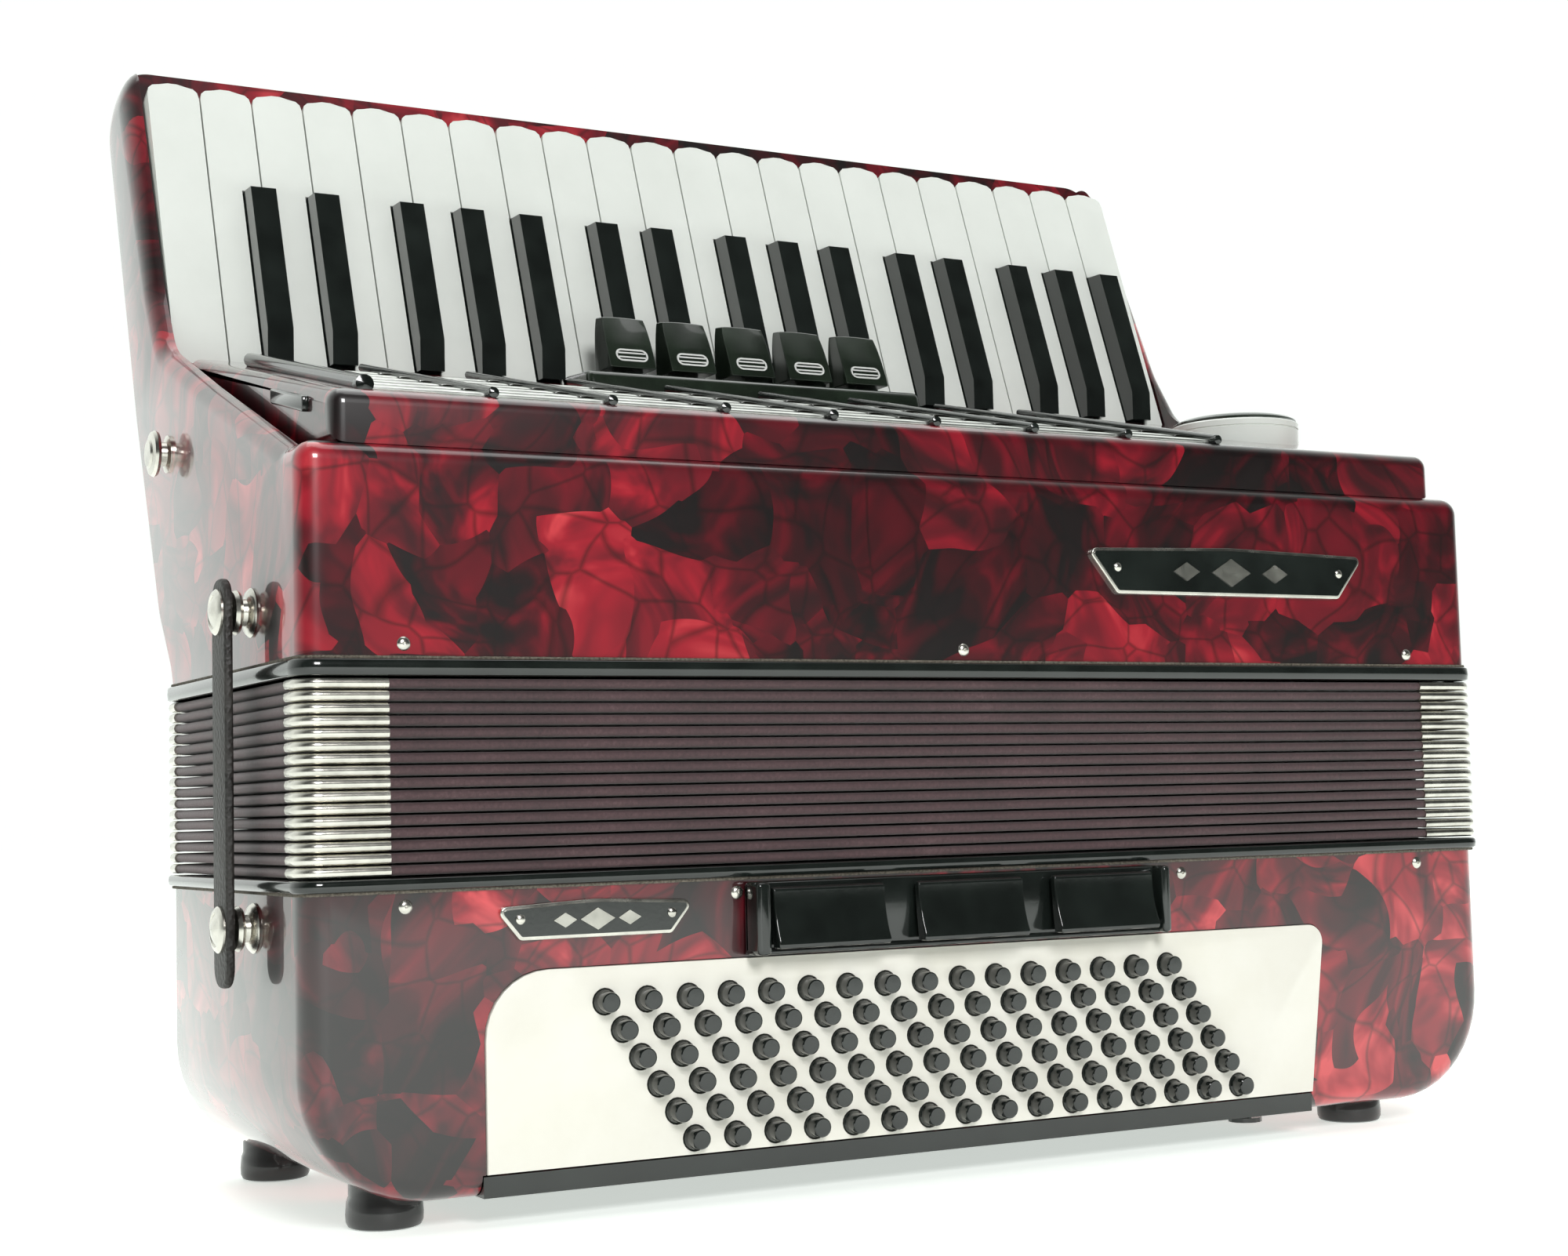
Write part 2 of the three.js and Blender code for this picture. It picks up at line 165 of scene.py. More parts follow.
class Solid:
    """Vertices and faces in millimetres, added to by the methods below."""

    def __init__(self):
        self.verts = []
        self.faces = []

    def rings(self, rings, closed=False):
        """Skin over rings of equal length, with flat ends unless the rings close on themselves."""
        base, n = len(self.verts), len(rings[0])
        for ring in rings:
            self.verts += [tuple(p) for p in ring]
        last = len(rings) if closed else len(rings) - 1
        for i in range(last):
            here, there = base + i * n, base + (i + 1) % len(rings) * n
            for j in range(n):
                k = (j + 1) % n
                self.faces.append((here + j, here + k, there + k, there + j))
        if not closed:
            self.faces.append(tuple(base + j for j in reversed(range(n))))
            self.faces.append(tuple(base + (len(rings) - 1) * n + j for j in range(n)))
        return self

    def extrude(self, outline, axis, low, high, edge=0.0, steps=4, dense=0.0):
        """Outline swept along axis, with both end edges rounded to radius edge.

        Within dense of each end there are extra stations for later bending.
        """
        stations = [(low, 0.0), (high, 0.0)]
        extra = 5
        if edge > 0:
            first = []
            for k in reversed(range(steps + 1)):
                turn = math.pi / 2 * k / steps
                first.append((low + edge * (1 - math.sin(turn)), edge * (1 - math.cos(turn))))
            if dense > edge:
                for k in range(1, extra + 1):
                    first.append((low + edge + (dense - edge) * k / extra, 0.0))
            stations = first + [(low + high - place, depth) for place, depth in reversed(first)]
        sections = []
        for place, depth in stations:
            line = inset(outline, depth) if depth else outline
            sections.append([placed(axis, a, b, place) for a, b in line])
        return self.rings(sections)

    def box(self, xs, ys, zs, edge=0.0):
        (left, right), (low, high) = xs, zs
        outline = rounded([(left, low, edge), (right, low, edge), (right, high, edge),
                           (left, high, edge)], 3)
        return self.extrude(outline, "Y", ys[0], ys[1], edge * 0.95, 3)

    def lathe(self, profile, axis, centre, sides=24):
        """Profile of (radius, place along axis) turned about axis through centre (a, b)."""
        sections = []
        for radius, along in profile:
            turned = circle(max(radius, POLE_RADIUS), sides, centre)
            sections.append([placed(axis, a, b, along) for a, b in turned])
        return self.rings(sections)


def row(point):
    """A point of this script, in millimetres, as a place in the row frame, in metres."""
    return Vector((point[0] * MM, FRONT_Y + point[1] * MM, point[2] * MM))


def soften(mesh, limit=35.0):
    """Smooth shading that keeps edges sharper than limit degrees crisp."""
    work = bmesh.new()
    work.from_mesh(mesh)
    bmesh.ops.recalc_face_normals(work, faces=work.faces)
    for face in work.faces:
        face.smooth = True
    for edge in work.edges:
        edge.smooth = len(edge.link_faces) == 2 and edge.calc_face_angle(0) < math.radians(limit)
    work.to_mesh(mesh)
    work.free()


def build(name, solid, material, limit=35.0):
    """New object made of a solid, smooth but for edges sharper than limit degrees."""
    mesh = bpy.data.meshes.new(name)
    mesh.from_pydata([row(p) for p in solid.verts], [], solid.faces)
    mesh.validate()
    obj = bpy.data.objects.new(name, mesh)
    bpy.context.scene.collection.objects.link(obj)
    soften(mesh, limit)
    mesh.materials.append(material)
    return obj


def bevelled(obj, width, segments=2, limit=40.0):
    modifier = obj.modifiers.new("bevel", "BEVEL")
    modifier.width = width * MM
    modifier.segments = segments
    modifier.limit_method = "ANGLE"
    modifier.angle_limit = math.radians(limit)
    modifier.harden_normals = True
    return obj


def carved(obj, cutter, limit=35.0):
    """obj with the cutter solid taken out of it."""
    tool = build(obj.name + "_cut", cutter, obj.data.materials[0])
    modifier = obj.modifiers.new("cut", "BOOLEAN")
    modifier.operation = "DIFFERENCE"
    modifier.solver = "EXACT"
    modifier.object = tool
    graph = bpy.context.evaluated_depsgraph_get()
    mesh = bpy.data.meshes.new_from_object(obj.evaluated_get(graph))
    obj.modifiers.clear()
    obj.data = mesh
    bpy.data.objects.remove(tool)
    soften(mesh, limit)
    return obj


def ride(obj, body, replaces=()):
    """Fasten obj to a body and hide the CAD nodes it stands in for."""
    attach(obj, body)
    if replaces:
        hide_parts(*replaces)
    return obj


# ---------------------------------------------------------------- materials
class Nodes:
    """A material's node tree with short calls."""

    def __init__(self, name):
        self.material = bpy.data.materials.new(name)
        self.material.use_nodes = True
        self.tree = self.material.node_tree
        self.shader = self.tree.nodes["Principled BSDF"]
        self.place = self.tree.nodes.new("ShaderNodeTexCoord").outputs["Object"]

    def node(self, kind, inputs=None, **settings):
        made = self.tree.nodes.new(kind)
        for key, value in settings.items():
            setattr(made, key, value)
        for key, value in (inputs or {}).items():
            if isinstance(value, bpy.types.NodeSocket):
                self.tree.links.new(value, made.inputs[key])
            else:
                made.inputs[key].default_value = value
        return made

    def noise(self, scale, detail=4.0, place=None, distortion=0.0, rough=0.55):
        inputs = {"Vector": place or self.place, "Scale": scale, "Detail": detail, "Roughness": rough,
                  "Distortion": distortion}
        return self.node("ShaderNodeTexNoise", inputs)

    def math(self, operation, a, b=0.0):
        return self.node("ShaderNodeMath", {0: a, 1: b}, operation=operation).outputs[0]

    def ramp(self, value, stops):
        made = self.node("ShaderNodeValToRGB", {"Fac": value})
        ramp = made.color_ramp
        while len(ramp.elements) < len(stops):
            ramp.elements.new(0.5)
        for element, (position, colour) in zip(ramp.elements, stops):
            element.position = position
            element.color = (*colour, 1.0)
        return made.outputs["Color"]

    def spread(self, value, low, high):
        return self.node("ShaderNodeMapRange", {"Value": value, "To Min": low, "To Max": high}).outputs[0]

    def bump(self, height, strength, distance):
        made = self.node("ShaderNodeBump", {"Height": height, "Strength": strength, "Distance": distance})
        self.tree.links.new(made.outputs["Normal"], self.shader.inputs["Normal"])

    def set(self, **sockets):
        names = {key: key.replace("_", " ").capitalize() for key in sockets}
        names.update({"color": "Base Color", "coat": "Coat Weight", "coat_rough": "Coat Roughness",
                      "sheen": "Sheen Weight", "ior": "IOR", "emission": "Emission Strength"})
        for key, value in sockets.items():
            socket = self.shader.inputs[names[key]]
            if isinstance(value, bpy.types.NodeSocket):
                self.tree.links.new(value, socket)
            else:
                socket.default_value = value
        return self.material


def pearloid():
    """Celluloid with overlapping shards: each has its own tone and its own direction of silky streaks."""
    n = Nodes("red_pearloid")
    bend, full_turn, streak = 0.06, 6.28, (1.0, 0.30, 1.0)
    shard_scale, vein_scale, silk_scale = 31.0, 52.0, 48.0
    tone_share, silk_share, vein_share = 0.30, 0.95, 0.8
    shallow, deep = 1.16, 0.72
    warp = n.noise(12.0, 1.6)
    shift = n.node("ShaderNodeVectorMath", {0: warp.outputs["Color"], 1: (0.5, 0.5, 0.5)},
                   operation="SUBTRACT").outputs[0]
    push = n.node("ShaderNodeVectorMath", {0: shift, "Scale": bend}, operation="SCALE").outputs[0]
    bent = n.node("ShaderNodeVectorMath", {0: n.place, 1: push}, operation="ADD").outputs[0]
    cells = n.node("ShaderNodeTexVoronoi", {"Vector": bent, "Scale": shard_scale}, distance="CHEBYCHEV")
    edges = n.node("ShaderNodeTexVoronoi", {"Vector": bent, "Scale": vein_scale},
                   feature="DISTANCE_TO_EDGE")
    turn = n.node("ShaderNodeVectorMath", {0: cells.outputs["Color"], "Scale": full_turn},
                  operation="SCALE").outputs[0]
    spun = n.node("ShaderNodeVectorRotate", {"Vector": bent, "Rotation": turn},
                  rotation_type="EULER_XYZ").outputs[0]
    drawn = n.node("ShaderNodeMapping", {"Vector": spun, "Scale": streak}).outputs[0]
    silk = n.noise(silk_scale, 2.6, drawn, 0.9, 0.55).outputs["Fac"]
    tone = n.node("ShaderNodeSeparateColor", {0: cells.outputs["Color"]}).outputs["Red"]
    mixed = n.math("ADD", n.math("MULTIPLY", tone, tone_share), n.math("MULTIPLY", silk, silk_share))
    depth = n.noise(6.0, 1.0).outputs["Fac"]
    mixed = n.math("MULTIPLY", mixed, n.spread(depth, deep, shallow))
    red = n.ramp(mixed, [
        (0.39, (0.004, 0.0005, 0.0008)), (0.52, (0.040, 0.0008, 0.0035)), (0.64, (0.13, 0.002, 0.009)),
        (0.76, (0.32, 0.007, 0.019)), (0.92, (0.66, 0.060, 0.07))])
    vein = n.ramp(edges.outputs["Distance"], [(0.0, (0.30, 0.26, 0.26)), (0.05, (1.0, 1.0, 1.0))])
    colour = n.node("ShaderNodeMix", data_type="RGBA", blend_type="MULTIPLY")
    colour.inputs["Factor"].default_value = vein_share
    sockets = [s for s in colour.inputs if s.type == "RGBA"]
    n.tree.links.new(red, sockets[0])
    n.tree.links.new(vein, sockets[1])
    result = [s for s in colour.outputs if s.type == "RGBA"][0]
    return n.set(color=result, roughness=n.spread(silk, 0.42, 0.28), coat=1.0, coat_rough=0.02, ior=1.5)


def gloss_black(name="gloss_black", rough=(0.10, 0.2), tint=(0.006, 0.008, 0.007)):
    """Black lacquer or rubber with a faint cloudiness; rough is the range of its roughness."""
    n = Nodes(name)
    cloud = n.noise(60.0, 5.0).outputs["Fac"]
    light = tuple(c * 2.2 for c in tint)
    colour = n.ramp(cloud, [(0.35, tint), (0.75, light)])
    n.bump(n.noise(420.0, 2.0).outputs["Fac"], 0.06, 0.0004)
    return n.set(color=colour, roughness=n.spread(cloud, *rough), coat=0.6, coat_rough=0.05)


def moulded(name, dark, pale, rough, scale=40.0):
    """Moulded or cast plastic with a slight cloudiness."""
    n = Nodes(name)
    cloud = n.noise(scale, 4.0).outputs["Fac"]
    n.bump(n.noise(700.0, 2.0).outputs["Fac"], 0.05, 0.0003)
    return n.set(color=n.ramp(cloud, [(0.3, dark), (0.7, pale)]), roughness=n.spread(cloud, *rough),
                 coat=0.35, coat_rough=0.06)


def bellows_cloth():
    n = Nodes("bellows_cloth")
    grain = n.noise(900.0, 4.0, rough=0.7).outputs["Fac"]
    wear = n.noise(35.0, 4.0).outputs["Fac"]
    blend = n.math("ADD", n.math("MULTIPLY", grain, 0.6), n.math("MULTIPLY", wear, 0.4))
    colour = n.ramp(blend, [(0.3, (0.030, 0.014, 0.016)), (0.55, (0.062, 0.029, 0.033)),
                            (0.8, (0.12, 0.07, 0.075))])
    n.bump(grain, 0.35, 0.0006)
    return n.set(color=colour, roughness=n.spread(wear, 0.62, 0.8), sheen=0.25)


def leather():
    n = Nodes("black_leather")
    pores = n.node("ShaderNodeTexVoronoi", {"Vector": n.place, "Scale": 650.0}).outputs["Distance"]
    wear = n.noise(70.0, 5.0).outputs["Fac"]
    colour = n.ramp(wear, [(0.3, (0.008, 0.007, 0.006)), (0.7, (0.028, 0.025, 0.022))])
    n.bump(pores, 0.5, 0.0007)
    return n.set(color=colour, roughness=n.spread(wear, 0.42, 0.66))


def metal(name, colour, rough):
    n = Nodes(name)
    cloud = n.noise(140.0, 5.0).outputs["Fac"]
    dull = tuple(c * 0.72 for c in colour)
    return n.set(color=n.ramp(cloud, [(0.3, dull), (0.62, colour)]), metallic=1.0,
                 roughness=n.spread(cloud, *rough))


def felt():
    n = Nodes("gasket_felt")
    fibre = n.noise(1200.0, 4.0).outputs["Fac"]
    n.bump(fibre, 0.5, 0.0006)
    return n.set(color=n.ramp(fibre, [(0.3, (0.045, 0.038, 0.03)), (0.7, (0.17, 0.15, 0.12))]),
                 roughness=0.95)


def bare_wood():
    n = Nodes("reed_wood")
    stretch = n.node("ShaderNodeMapping", {"Vector": n.place, "Scale": (6.0, 90.0, 90.0)}).outputs[0]
    grain = n.noise(3.0, 6.0, stretch, 0.8).outputs["Fac"]
    colour = n.ramp(grain, [(0.3, (0.36, 0.21, 0.09)), (0.7, (0.62, 0.42, 0.22))])
    return n.set(color=colour, roughness=0.6)


PEARL = pearloid()
BLACK = gloss_black()
RUBBER = gloss_black("foot_rubber", (0.35, 0.55), (0.008, 0.008, 0.008))
GREEN_BLACK = gloss_black("register_black", (0.16, 0.26), (0.008, 0.013, 0.008))
IVORY = moulded("ivory_plate", (0.80, 0.775, 0.69), (0.85, 0.83, 0.76), (0.3, 0.42))
WHITE = moulded("white_key_plastic", (0.76, 0.785, 0.745), (0.80, 0.825, 0.785), (0.14, 0.22))
MARK = moulded("register_mark_white", (0.6, 0.61, 0.59), (0.72, 0.73, 0.71), (0.3, 0.4))
CLOTH = bellows_cloth()
LEATHER = leather()
NICKEL = metal("nickel", (0.70, 0.68, 0.62), (0.16, 0.34))
SILVER = metal("grille_silver", (0.80, 0.82, 0.78), (0.28, 0.42))
FELT = felt()
WOOD = bare_wood()


# ---------------------------------------------------------------- casings
def carve_all(shell, cutters):
    for cutter in cutters:
        carved(shell, cutter)


def bass_casing():
    half, past = HALF_WIDTH, 240
    outline = rounded([
        (-half, BASS_BOTTOM, BASS_CORNER), (half, BASS_BOTTOM, BASS_CORNER),
        (half, BASS_TOP + OPEN_END_WASTE, 9), (-half, BASS_TOP + OPEN_END_WASTE, 9)], 10)
    shell = build("bass_shell", Solid().extrude(outline, "Y", 0, DEPTH, 8, 5), PEARL)
    open_end = Solid().box((-past, past), (-20, DEPTH + 20), (BASS_TOP, BASS_TOP + 40))
    window = Solid().extrude(window_outline(0), "Y", -20, 5)
    cover_seat = Solid().box((-171, 140), (-20, DEPTH - 3), (0, 15.2))
    carve_all(shell, (open_end, window, cover_seat))
    ride(shell, BASS, ["bass_casing"])


def window_outline(gap):
    """Opening of the button plate, smaller by gap all round."""
    left, right, slant = -170 + gap, 140 - gap, 148 - gap
    low, high = 15 + gap, 74 - gap
    return rounded([(left, low, 0), (right, low, 0), (slant, high, 6), (left, high, 20)], 8)


def cheek_drop(x, z):
    """How far the top of the end plates comes down towards their rounded outer corners."""
    reach = abs(x) - (HALF_WIDTH - CHEEK_CORNER)
    if reach <= 0:
        return 0.0
    drop = CHEEK_CORNER - math.sqrt(max(0.0, CHEEK_CORNER ** 2 - reach ** 2))
    return drop * min(1.0, max(0.0, (z - TOP + CHEEK_FADE) / CHEEK_FADE))


def treble_casing():
    """Treble body, keyboard bed and end plates in one; the profile is the end plate's, from the side."""
    low, past, lap = TREBLE_LOW - OPEN_END_WASTE, 240, 7.0
    profile = rounded([
        (0, low, 9), (DEPTH, low, 9), (DEPTH, 167, 20), (171, 190, 30), (204, 264, 80),
        (254.2, TOP, 17.8), (222, TOP, 9.5), (181, 309, 60), (165, 285, 24), (106, 262, 60),
        (18, 229.4, 10), (0, TREBLE_FRONT_TOP, 6.3)], 8)
    body = Solid().extrude(profile, "X", -HALF_WIDTH, HALF_WIDTH, 6.2, 6, CHEEK_CORNER)
    body.verts = [(x, y, z - cheek_drop(x, z)) for x, y, z in body.verts]
    shell = build("treble_shell", body, PEARL)
    open_end = Solid().box((-past, past), (-20, DEPTH + 20), (100, TREBLE_LOW))
    above = [(-30, TREBLE_FRONT_TOP), (lap, TREBLE_FRONT_TOP), (lap, BOARD_TOP), (160, BOARD_TOP),
             (177.2, 258), (230.8, TOP), (230.8, 450), (-30, 450)]
    between_plates = Solid().extrude(above, "X", -CHEEK_INNER, CHEEK_INNER)
    hollow = Solid().box((-CHEEK_INNER, CHEEK_INNER), (lap, DEPTH - 8), (150, 222))
    carve_all(shell, (open_end, between_plates, hollow))
    ride(shell, TREBLE, ["treble_casing"])


def rectangle_path(depth, radius=8.0, half=HALF_WIDTH + BAND_LIP, front=-BAND_LIP, steps=7):
    """Plan of the casing's outer edge, moved in by depth, always with the same number of points."""
    smallest = 0.4
    r = max(radius - depth, smallest)
    a, y0, y1 = half - depth, front + depth, DEPTH - front - depth
    return rounded([(-a, y0, r), (a, y0, r), (a, y1, r), (-a, y1, r)], steps)


def ring_solid(section, **plan):
    """Closed ring round the casing; section is a closed list of (depth, z)."""
    rings = [[(x, y, z) for x, y in rectangle_path(depth, **plan)] for depth, z in section]
    return Solid().rings(rings, closed=True)


def bellows_frame(name, body, low, high, felt):
    """Black band round a casing's open end, with a felt gasket at the height felt."""
    middle, thick = (low + high) / 2, 0.45
    section = [(10, low), (0.9, low), (0.2, low + 0.5), (0, middle), (0.2, high - 0.5), (0.9, high),
               (10, high)]
    ride(build(name, ring_solid(section), BLACK, 60), body)
    strip = [(9, felt - thick), (1.35, felt - thick), (1.25, felt), (1.35, felt + thick),
             (9, felt + thick)]
    ride(build(name + "_felt", ring_solid(strip), FELT, 60), body)


def blend_between(obj):
    """Bake obj's placement into its mesh, so that it stays where it is made."""
    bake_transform(obj)


def corner_path(depth, corner, reach_front, reach_side):
    """Plan of one corner of a fold, from the front or back face round to the end face."""
    side, back = corner
    lip, smallest, steps = 1.0, 0.3, 6
    half, front = HALF_WIDTH + lip, -lip
    radius = max(FOLD_CORNER - depth, smallest)
    centre = (half - FOLD_CORNER, front + FOLD_CORNER)
    path = [(half - reach_front, front + depth)]
    for k in range(steps + 1):
        turn = math.pi / 2 * k / steps
        path.append((centre[0] + radius * math.sin(turn), centre[1] - radius * math.cos(turn)))
    path.append((half - depth, front + reach_side))
    return [(side * x, DEPTH - y if back else y) for x, y in path]


def bellows():
    """Folds and corner clips; both sections list (depth from the outside, share of a fold's height)."""
    pitch = (FOLDS_HIGH - FOLDS_LOW) / FOLD_COUNT
    fold_lip, reach_front, reach_side, steady = 0.8, 27.0, 13.0, 1e-5
    fold = ((FOLD_DEPTH, 0.0), (2.0, 0.10), (0.7, 0.17), (0.15, 0.32), (0.0, 0.5), (0.15, 0.68),
            (0.7, 0.83), (2.0, 0.90), (FOLD_DEPTH, 1.0))
    clip = ((4.2, 0.10), (0.6, 0.07), (-0.2, 0.22), (-0.5, 0.5), (-0.2, 0.78), (0.6, 0.93), (4.2, 0.90))
    for index in range(FOLD_COUNT):
        low = FOLDS_LOW + index * pitch
        section = [(depth, low + share * pitch) for depth, share in fold]
        ring = ring_solid(section, radius=FOLD_CORNER, half=HALF_WIDTH + fold_lip, front=-fold_lip)
        cloth = build(f"bellows_fold_{index + 1:02d}", ring, CLOTH, 80)
        if index == 0:
            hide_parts("bellows")
        blend_between(cloth)
        clips = Solid()
        for corner in ((-1, False), (1, False), (-1, True), (1, True)):
            paths = []
            for depth, share in clip:
                paths.append((corner_path(depth, corner, reach_front, reach_side), low + share * pitch))
            count = len(paths[0][0])
            clips.rings([[(*path[k], z) for path, z in paths] for k in range(count)])
        metal_clips = build(f"bellows_clips_{index + 1:02d}", clips, NICKEL, 60)
        blend_between(metal_clips)


# ---------------------------------------------------------------- bass end
def button_places():
    """Centres of the bass buttons; each row stands lower and further right than the one above."""
    first_x, first_z = -131.7, 63.1
    pitch, shift, drop = 13.95, 5.8, 8.56
    rows, columns = 6, 16
    return [(first_x + pitch * column + shift * line, first_z - drop * line)
            for line in range(rows) for column in range(columns)]


def bass_front():
    plate = build("button_plate", Solid().extrude(window_outline(0.3), "Y", -0.8, 2.2, 0.35, 2), IVORY)
    holes = Solid()
    for place in button_places():
        holes.lathe([(4.15, -3), (4.15, 5)], "Y", place, 20)
    ride(carved(plate, holes), BASS, ["bass_button_plate"])
    cap = [(3.9, 7), (3.9, -0.5), (3.55, -1.2), (3.2, -1.7), (3.08, -2.4), (3.08, -5.2), (2.95, -5.65),
           (2.6, -5.93), (0.0, -6.0)]
    caps = Solid()
    for place in button_places():
        caps.lathe(cap, "Y", place, 20)
    caps.box((-140, 124), (7, 8.5), (17.5, 68))
    ride(build("bass_button_caps", caps, BLACK), "button_set", ["bass_buttons"])


def bass_registers():
    left, right, low, high, steps = -84.0, 74.0, 74.5, 97.0, 8
    frame_parts = Solid()
    frame_parts.box((left, right), (-4.0, -0.3), (low, high), 1.4)
    for x0, x1 in ((left, left + 5), (right - 3.5, right)):
        frame_parts.box((x0, x1), (-10.0, -0.4), (low, high), 1.5)
    frame_parts.box((left, right), (-6.4, -0.4), (low, low + 1.6), 0.7)
    ride(build("bass_register_housing", frame_parts, BLACK), BASS,
         ["bass_register_bridge"])
    for index in range(3):
        node = f"bass_register_{index + 1}"
        low_corner, high_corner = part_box(node)
        x0, x1 = low_corner.x / MM, high_corner.x / MM
        face = [(-8.2 - 3.6 * (k / steps) ** 2.2, 94.6 - 16.6 * k / steps) for k in range(steps + 1)]
        outline = [(-5.2, 94.5), (-6.6, 95.5), *face, (-11.7, 76.8), (-11.0, 76.4), (-7, 76.4)]
        paddle = build(f"bass_paddle_{index + 1}", Solid().extrude(outline, "X", x0, x1), BLACK)
        ride(bevelled(paddle, 0.6, 3), node, [node])


def feet():
    profile = [(9.6, 0), (10.8, 0.5), (11.4, 1.8), (11.5, 4), (11.2, 7.5), (10.6, 9.2), (10.6, 14)]
    places = [(x, y) for y in (23.5, 137) for x in (-193, 177)]
    for index, place in enumerate(places):
        foot = Solid().lathe(profile, "Z", place, 40)
        ride(build(f"foot_{index + 1}", foot, RUBBER), BASS)


def hand_strap():
    low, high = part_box("hand_strap")
    x0, x1 = low.x / MM, high.x / MM
    y0, y1 = (low.y - FRONT_Y) / MM, (high.y - FRONT_Y) / MM
    outline = rounded([(y0, 3.3, 1.0), (y1, 3.3, 1.0), (y1, 5.9, 1.2), (y0, 5.9, 1.2)], 4)
    band = Solid().extrude(outline, "X", x0, x1, 1.1, 3)
    for start, end in ((-158, -140), (118, 138)):
        band.box((start, end), (84, 118), (5.0, 8.2), 0.8)
    ride(build("hand_strap_leather", band, LEATHER), BASS, ["hand_strap"])
    stitches = Solid()
    step, margin, length, thread = 4.5, 6, 3.0, 0.35
    for line in (y0 + 3.5, y0 + 6.0, y1 - 6.0, y1 - 3.5):
        for k in range(int((x1 - x0 - 2 * margin) / step)):
            x = x0 + margin + k * step
            for face in ((2.95, 3.6), (5.6, 6.2)):
                stitches.box((x, x + length), (line - thread, line + thread), face, 0.25)
    ride(build("hand_strap_stitches", stitches, FELT), BASS)


# ---------------------------------------------------------------- treble end
def cover_top(y):
    """Height of the grille cover's sloping top at a distance from the front plane."""
    return COVER_LEVEL + (y - COVER_START) * COVER_SLOPE


def on_cover(y, lift):
    """Point of an outline across the cover, lift above its top."""
    return (y, cover_top(y) + lift)


def grille_cover():
    front, back, low, wall = 4, 168.0, BOARD_TOP + 0.9, 2.5
    outside = rounded([(front, low, 0), (150, low, 0), (*on_cover(back, -5), 1.5),
                       (*on_cover(back, 0), 1.5), (*on_cover(front, 0.3), 5.2)], 6)
    shell = build("grille_shell", Solid().extrude(outside, "X", -COVER_HALF, COVER_HALF, 4.5, 5), PEARL)
    under, beyond = low - 9, back + 20
    inside = [(front + wall, under), (front + wall, cover_top(front) - 4), on_cover(12, -wall),
              on_cover(beyond, -wall), (beyond, under)]
    hollow = Solid().extrude(inside, "X", -COVER_HALF + wall, COVER_HALF - wall)
    opening = [on_cover(18, -9), on_cover(128, -9), on_cover(128, 9), on_cover(18, 9)]
    sound_hole = Solid().extrude(opening, "X", -198, 120)
    carve_all(shell, (hollow, sound_hole))
    ride(shell, TREBLE, ["grille_cover"])
    sheet = [on_cover(14, -2.9), on_cover(132, -2.9), on_cover(132, -3.4), on_cover(14, -3.4)]
    cloth = Solid().extrude(sheet, "X", -200, 124)
    ride(build("grille_cloth", cloth, FELT), TREBLE)


def along_cover(x, y, lift):
    """Place on the cover's top, lifted square to its slope."""
    lean = 0.23
    return (x, y - lift * lean, cover_top(y) + lift)


def grille_rods():
    """Rods over the sound hole, the first one thicker, and the silver strips across them."""
    rods = Solid()
    first_x, pitch, end, height, steps = -200, 39.5, 134, 2.0, 10
    for index in range(9):
        x = first_x + pitch * index
        radius, start = (2.6, 13) if index == 0 else (1.5, 9.5)
        path = [along_cover(x, start + (end - start) * k / steps, height) for k in range(steps + 1)]
        ring = circle(radius, 12)
        rods.rings([[(p[0] + a, p[1], p[2] + b) for a, b in ring] for p in path])
        tip_y, tip_z = path[0][1:]
        tip = [(radius * 0.2, tip_y - 1.6), (radius * 1.1, tip_y - 1.0), (radius * 1.15, tip_y + 1.8)]
        rods.lathe(tip, "Y", (x, tip_z - 0.4), 14)
    ride(build("grille_rods", rods, BLACK), TREBLE)
    strips = Solid()
    first_y, spacing = 17, 20
    for line in range(6):
        y = first_y + line * spacing
        z = cover_top(y)
        outline = rounded([(y - 5.0, z - 1.4, 0.6), (y + 5.0, z + 0.9, 0.6), (y + 4.6, z + 2.4, 0.7),
                           (y - 5.4, z + 0.1, 0.7)], 3)
        strips.extrude(outline, "X", -199, 117)
    ride(build("grille_strips", strips, SILVER), TREBLE)


def switch_disc():
    """White ring with a black dome on the cover's right end."""
    centre = (171, 66)
    base = cover_top(centre[1])
    rim = [(24.4, base - 7), (24.6, base + 1.6), (24.2, base + 1.9), (24.6, base + 2.2),
           (24.6, base + 4.2), (24.1, base + 4.7), (23, base + 4.8)]
    ride(build("switch_ring", Solid().lathe(rim, "Z", centre, 56), WHITE), TREBLE)
    radius, rise, start = 23.8, 3.4, base + 5.4
    dome = [(23.7, base + 4.6), (23.9, base + 5.2)]
    for turn in (0.1, 0.35, 0.6, 0.85, 1.1, 1.35, 1.56):
        dome.append((radius * math.cos(turn), start + rise * math.sin(turn)))
    lens = build("switch_dome", Solid().lathe(dome, "Z", centre, 56), GREEN_BLACK)
    ride(lens, TREBLE)


def slider():
    """Flat slide on the cover's left wall, lying along its sloping top edge."""
    front, back, under, over = 26, 60, -8.5, -3.5
    outline = rounded([(*on_cover(front, under), 1), (*on_cover(back, under), 1),
                       (*on_cover(back, over), 1), (*on_cover(front, over), 1)], 3)
    body = Solid().extrude(outline, "X", -214.8, -212.4, 0.6, 2)
    ride(build("cover_slider", body, BLACK), TREBLE)


